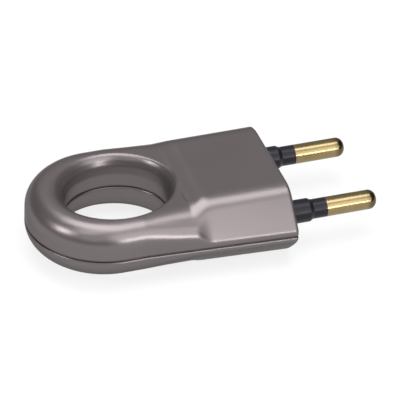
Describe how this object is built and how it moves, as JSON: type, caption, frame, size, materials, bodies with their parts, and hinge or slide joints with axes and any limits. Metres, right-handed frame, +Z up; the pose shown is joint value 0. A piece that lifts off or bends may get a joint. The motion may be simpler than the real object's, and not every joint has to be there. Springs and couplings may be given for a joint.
{
  "type": "two-pin plug",
  "caption": "Flat mains plug: two-part moulded casing with a finger ring at the rear, and round brass pins with insulating sleeves.",
  "frame": {"origin": "middle of the front face, on the plane where the two half shells meet", "axes": "+X out along the pins, +Y from the right pin to the left pin, +Z up out of the upper shell"},
  "size_m": [0.07, 0.035, 0.0152],
  "materials": {
    "casing": "glossy moulded taupe grey",
    "pins": "drawn and turned, bright",
    "sleeves": "black, smooth",
    "screws": "zinc plated",
    "inserts": "turned",
    "clamp": "moulded"
  },
  "bodies": {
    "root": {"upper_shell": "casing", "lower_shell": "casing", "cord_clamp": "clamp", "left_pin": "pins", "right_pin": "pins", "left_sleeve": "sleeves", "right_sleeve": "sleeves", "left_terminal_screw": "screws", "right_terminal_screw": "screws", "front_clamp_screw": "screws", "rear_clamp_screw": "screws", "front_case_screw": "screws", "rear_case_screw": "screws", "front_case_insert": "inserts", "rear_case_insert": "inserts"}
  },
  "joints": []
}
